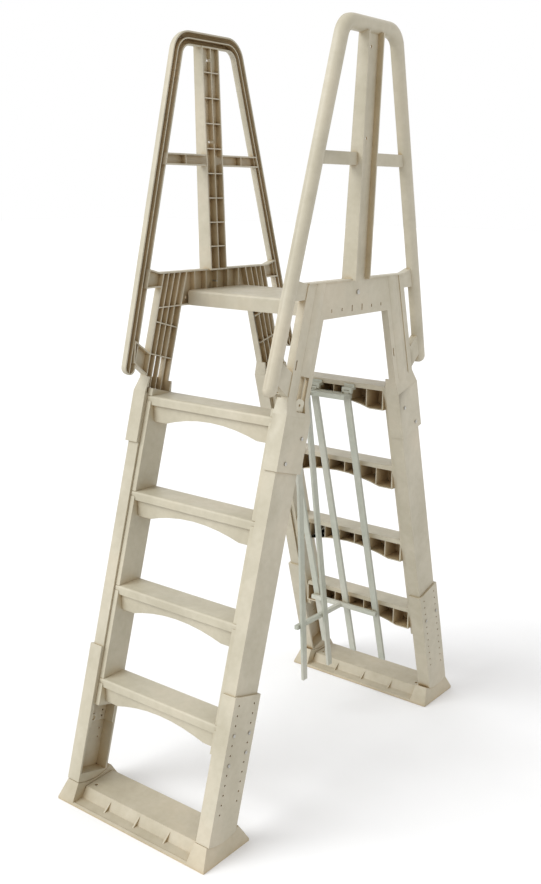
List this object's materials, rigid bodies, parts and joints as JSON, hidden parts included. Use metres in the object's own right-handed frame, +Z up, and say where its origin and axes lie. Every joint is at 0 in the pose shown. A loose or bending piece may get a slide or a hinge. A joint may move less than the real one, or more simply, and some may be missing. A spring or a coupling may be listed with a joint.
{
  "type": "pool ladder",
  "caption": "Free-standing A-frame pool ladder with platform, ribbed handrail side panels, sliding outside steps, height-adjustable feet, base trays and a slatted swim-through barrier.",
  "frame": {"origin": "on the ground, under the middle of the platform", "axes": "+X to the right of a person climbing the outside steps, +Y from the outside steps to the pool-side steps, +Z up"},
  "size_m": [0.5536, 1.268, 2.007],
  "materials": {
    "frame_plastic": "warm beige moulded plastic, fine matt grain",
    "step_plastic": "warm beige moulded plastic, fine matt grain",
    "tray_plastic": "warm beige moulded plastic, a little mottled",
    "tab_plastic": "light beige moulded plastic",
    "barrier_plastic": "pale grey-white extruded plastic",
    "fastener_steel": "satin stainless steel"
  },
  "bodies": {
    "frame": {"panel_right": "frame_plastic", "beam_bolt_right": "fastener_steel", "stop_knob_right": "frame_plastic", "leg_front_right": "frame_plastic", "collar_screw_front_right_1": "fastener_steel", "collar_screw_front_right_2": "fastener_steel", "leg_rear_right": "frame_plastic", "collar_screw_rear_right_1": "fastener_steel", "collar_screw_rear_right_2": "fastener_steel", "stile_rear_right": "step_plastic", "panel_left": "frame_plastic", "beam_bolt_left": "fastener_steel", "stop_knob_left": "frame_plastic", "leg_front_left": "frame_plastic", "collar_screw_front_left_1": "fastener_steel", "collar_screw_front_left_2": "fastener_steel", "leg_rear_left": "frame_plastic", "collar_screw_rear_left_1": "fastener_steel", "collar_screw_rear_left_2": "fastener_steel", "stile_rear_left": "step_plastic", "platform": "frame_plastic", "barrier_hanger_1": "barrier_plastic", "barrier_hanger_2": "barrier_plastic", "tread_rear_1": "step_plastic", "tread_rear_2": "step_plastic", "tread_rear_3": "step_plastic", "tread_rear_4": "step_plastic"},
    "front_steps": {"stile_front_right": "step_plastic", "stile_front_left": "step_plastic", "tread_front_1": "step_plastic", "tread_front_2": "step_plastic", "tread_front_3": "step_plastic", "tread_front_4": "step_plastic"},
    "front_foot": {"sleeve_front_right": "frame_plastic", "sleeve_front_left": "frame_plastic", "sleeve_screw_front_right_1": "fastener_steel", "sleeve_screw_front_right_2": "fastener_steel", "sleeve_screw_front_right_3": "fastener_steel", "sleeve_screw_front_right_4": "fastener_steel", "sleeve_screw_front_left_1": "fastener_steel", "sleeve_screw_front_left_2": "fastener_steel", "sleeve_screw_front_left_3": "fastener_steel", "sleeve_screw_front_left_4": "fastener_steel"},
    "rear_foot": {"sleeve_rear_right": "frame_plastic", "sleeve_rear_left": "frame_plastic", "sleeve_screw_rear_right_1": "fastener_steel", "sleeve_screw_rear_right_2": "fastener_steel", "sleeve_screw_rear_left_1": "fastener_steel", "sleeve_screw_rear_left_2": "fastener_steel"},
    "front_base": {"base_front": "tray_plastic"},
    "rear_base": {"base_rear": "tray_plastic"},
    "lock_tab_right": {"lock_tab_right": "tab_plastic"},
    "lock_tab_left": {"lock_tab_left": "tab_plastic"},
    "barrier": {"barrier_top_frame": "barrier_plastic", "barrier_bottom_frame": "barrier_plastic", "barrier_slat_1": "barrier_plastic", "barrier_slat_2": "barrier_plastic", "barrier_slat_3": "barrier_plastic", "barrier_wing_slat_1": "barrier_plastic", "barrier_wing_slat_2": "barrier_plastic"}
  },
  "joints": [
    {"name": "front_steps_slide", "type": "slide", "parent": "frame", "child": "front_steps", "axis": [0, 0.2723, 0.9622], "range_m": [0, 0.5]},
    {"name": "front_foot_height", "type": "slide", "parent": "frame", "child": "front_foot", "axis": [0, 0.2723, 0.9622], "range_m": [-0.0762, 0.127]},
    {"name": "rear_foot_height", "type": "slide", "parent": "frame", "child": "rear_foot", "axis": [0, -0.2723, 0.9622], "range_m": [-0.0762, 0.0508]},
    {"name": "front_base_rock", "type": "hinge", "parent": "front_foot", "child": "front_base", "pos_m": [0, -0.545, 0.191], "axis": [1, 0, 0], "range_deg": [-3, 3]},
    {"name": "rear_base_rock", "type": "hinge", "parent": "rear_foot", "child": "rear_base", "pos_m": [0, 0.545, 0.191], "axis": [1, 0, 0], "range_deg": [-3, 3]},
    {"name": "lock_tab_right_lift", "type": "slide", "parent": "frame", "child": "lock_tab_right", "axis": [0, 0.2723, 0.9622], "range_m": [0, 0.045]},
    {"name": "lock_tab_left_lift", "type": "slide", "parent": "frame", "child": "lock_tab_left", "axis": [0, 0.2723, 0.9622], "range_m": [0, 0.045]},
    {"name": "barrier_swing", "type": "hinge", "parent": "frame", "child": "barrier", "pos_m": [0, 0.2113, 1.0546], "axis": [1, 0, 0], "range_deg": [-18, 0]}
  ]
}
